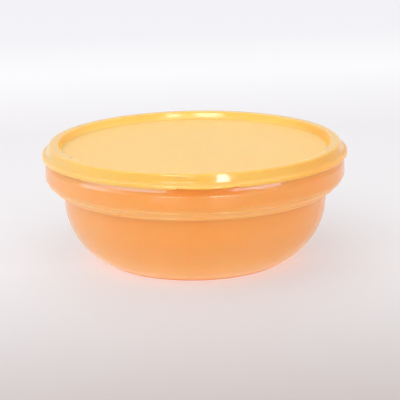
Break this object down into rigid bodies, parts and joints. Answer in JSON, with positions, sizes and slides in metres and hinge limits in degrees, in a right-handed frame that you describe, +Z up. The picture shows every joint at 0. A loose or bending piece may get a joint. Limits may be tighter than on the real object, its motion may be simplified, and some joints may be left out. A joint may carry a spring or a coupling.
{
  "type": "chip and dip server",
  "caption": "Round shallow plastic serving bowl with a wide collar, a press-on lid with a sunken panel and finger tab, and a lift-out cup for dip standing inside.",
  "frame": {"origin": "on the table surface under the foot ring, on the axis that the bowl, lid and cup share", "axes": "+Z up along the turning axis, -Y towards the lid's finger tab"},
  "size_m": [0.23, 0.2328, 0.0892],
  "materials": {
    "bowl_plastic": "milky translucent orange, satin",
    "lid_plastic": "milky yellow-orange, soft gloss",
    "cup_plastic": "milky translucent orange, satin"
  },
  "bodies": {
    "bowl": {"bowl": "bowl_plastic"},
    "lid": {"lid": "lid_plastic"},
    "dip_cup": {"dip_cup": "cup_plastic"}
  },
  "joints": [
    {"name": "lid_lift", "type": "slide", "parent": "bowl", "child": "lid", "axis": [0, 0, 1], "range_m": [0, 0.12]},
    {"name": "dip_cup_lift", "type": "slide", "parent": "bowl", "child": "dip_cup", "axis": [0, 0, 1], "range_m": [0, 0.03]}
  ]
}
